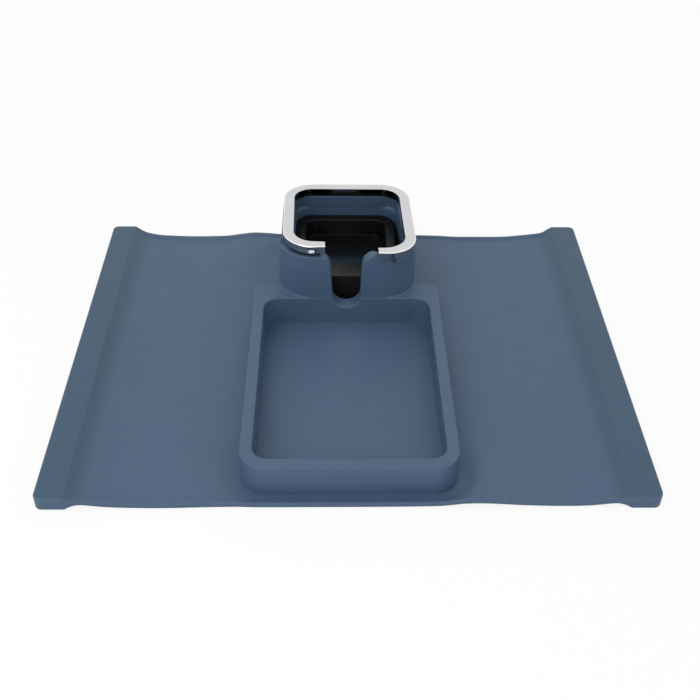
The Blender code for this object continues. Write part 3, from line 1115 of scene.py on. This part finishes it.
def makeBlackGloss():
    s = blackGloss
    floor = insertHigh.z - insert["depth"]
    material, tree, shader = newMaterial("black_gloss_moulding")
    place = objectPlace(tree)
    parts = split(tree, place)
    dust = spread(tree, noise(tree, place, s["dustScale"], 3), 0, s["dustShare"])
    gloss = mixColours(tree, dust, s["colour"], s["dust"])
    # Painted reflection of the blue mat, coloured onto the floor behind the slot
    back, fullBack, fullFront, front = s["blueReflectionPlaces"]
    soft = {"interpolation_type": "SMOOTHSTEP"}
    strength = maths(tree, "MULTIPLY", mapRange(tree, parts["Y"], fullBack, back, 1, 0, **soft),
                     mapRange(tree, parts["Y"], front, fullFront, **soft))
    onFloor = maths(tree, "LESS_THAN", parts["Z"], floor + s["blueReflectionAbove"])
    withBlueReflection = mixColours(tree, maths(tree, "MULTIPLY", strength, onFloor), gloss, s["blueReflection"])
    # Painted light: the face at the end of the slot is coloured lighter than the rest of the moulding
    slotEnd = maths(tree, "COMPARE", parts["Y"], towerY - insert["slotReach"], s["litFaceNear"])
    low = maths(tree, "LESS_THAN", parts["Z"], floor - s["litFaceBelow"])
    colour = mixColours(tree, maths(tree, "MULTIPLY", slotEnd, low), withBlueReflection, s["face"])
    feed(tree, colour, shader.inputs["Base Color"])
    smear = noise(tree, place, s["smearScale"], 5)
    start, end = s["ledgeFade"]
    rough = addNode(tree, "ShaderNodeMix")
    for value, index in ((mapRange(tree, parts["Z"], floor + start, floor + end), 0),
                         (spread(tree, smear, *s["floorRoughness"]), 2),
                         (spread(tree, smear, *s["ledgeRoughness"]), 3)):
        feed(tree, value, rough.inputs[index])
    feed(tree, rough.outputs[0], shader.inputs["Roughness"])
    peel = noise(tree, place, s["peelScale"], 2)
    feed(tree, bumpFrom(tree, peel, 0.15, s["peelDepth"]), shader.inputs["Normal"])
    feed(tree, s["ior"], shader.inputs["IOR"])
    return material


barSteel = {
    "dark": (0.42, 0.42, 0.43),
    "light": (0.50, 0.50, 0.51),
    "roughness": (0.35, 0.5),
    "lineScale": 1200,
    "lineStretch": (1.0, 0.04, 1.0),
    "lineDepth": 0.02 * mm,
}


def makeBarSteel():
    s = barSteel
    material, tree, shader = newMaterial("mill_steel")
    stretch = addNode(tree, "ShaderNodeMapping")
    feed(tree, s["lineStretch"], stretch.inputs["Scale"])
    feed(tree, objectPlace(tree), stretch.inputs["Vector"])
    lines = noise(tree, stretch.outputs["Vector"], s["lineScale"], 3)
    colour = mixColours(tree, spread(tree, lines, 0, 1), s["dark"], s["light"])
    feed(tree, colour, shader.inputs["Base Color"])
    feed(tree, spread(tree, lines, *s["roughness"]), shader.inputs["Roughness"])
    feed(tree, bumpFrom(tree, lines, 0.3, s["lineDepth"]), shader.inputs["Normal"])
    feed(tree, 1.0, shader.inputs["Metallic"])
    return material


def dress(item, material):
    item.data.materials.clear()
    item.data.materials.append(material)


print("finishes")
siliconeFinish = makeSilicone()
for piece in (centreSheet, leftSheet, rightSheet, trayAndTower):
    dress(piece, siliconeFinish)
dress(ringPiece, makePlating())
dress(insertPiece, makeBlackGloss())
steelFinish = makeBarSteel()
for name in ("left_weight_bar", "right_weight_bar"):
    dress(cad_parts[name], steelFinish)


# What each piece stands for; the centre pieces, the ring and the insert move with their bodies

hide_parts("mat_centre")
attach(centreSheet, "centre")
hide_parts("tray_wall", "cup_tower")
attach(trayAndTower, "centre")
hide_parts("trim_ring")
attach(ringPiece, "centre")
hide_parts("cup_insert")
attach(insertPiece, "insert")
for piece, side, node, body in ((leftSheet, -1, "left_wing", "left_side"),
                                (rightSheet, 1, "right_wing", "right_side")):
    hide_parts(node)
    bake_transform(piece)


# Floor and light

studio = {
    "floorHalf": 3.0,
    "floorColour": (0.95, 0.95, 0.95),
    "floorRoughness": 0.9,
    "floorGlow": 0.87,          # share of plain white that the camera sees on the floor
    "sky": 0.80,                # light of the white surroundings on matt surfaces
    "keySize": 1.2,
    "keyPower": 8,
    "keyPlace": (-0.7, -0.9, 1.3),
}


def rayShare(tree, first, *others):
    # 1 for the named kinds of ray, 0 for the others
    path = addNode(tree, "ShaderNodeLightPath")
    value = path.outputs[first]
    for name in others:
        value = maths(tree, "MAXIMUM", value, path.outputs[name])
    return value


def addFloor():
    size = studio["floorHalf"]
    corners = [(-size, -size), (size, -size), (size, size), (-size, size)]
    item = linkMesh("floor", atHeight(corners, 0.0), [(0, 1, 2, 3)])
    material, tree, shader = newMaterial("pale_floor")
    feed(tree, studio["floorColour"], shader.inputs["Base Color"])
    feed(tree, studio["floorRoughness"], shader.inputs["Roughness"])
    glow = addNode(tree, "ShaderNodeEmission")
    mixed = addNode(tree, "ShaderNodeMixShader")
    share = maths(tree, "MULTIPLY", rayShare(tree, "Is Camera Ray"), studio["floorGlow"])
    for value, socket in zip((share, shader.outputs[0], glow.outputs[0]), mixed.inputs):
        feed(tree, value, socket)
    feed(tree, mixed.outputs[0], tree.nodes["Material Output"].inputs["Surface"])
    item.data.materials.append(material)


def addSky():
    world = bpy.data.worlds.new("studio")
    bpy.context.scene.world = world
    world.use_nodes = True
    tree = world.node_tree
    sky = tree.nodes["Background"]
    feed(tree, (1, 1, 1), sky.inputs["Color"])
    seen = rayShare(tree, "Is Camera Ray", "Is Glossy Ray", "Is Transmission Ray")
    feed(tree, mapRange(tree, seen, 0, 1, studio["sky"], 1.0), sky.inputs["Strength"])


def addKey():
    data = bpy.data.lights.new("key", "AREA")
    data.shape = "SQUARE"
    data.size = studio["keySize"]
    data.energy = studio["keyPower"]
    item = bpy.data.objects.new("key", data)
    item.location = studio["keyPlace"]
    item.rotation_euler = (-item.location).to_track_quat("-Z", "Y").to_euler()
    bpy.context.scene.collection.objects.link(item)


print("floor and light")
addFloor()
addSky()
addKey()
bpy.context.scene.view_settings.view_transform = "Standard"
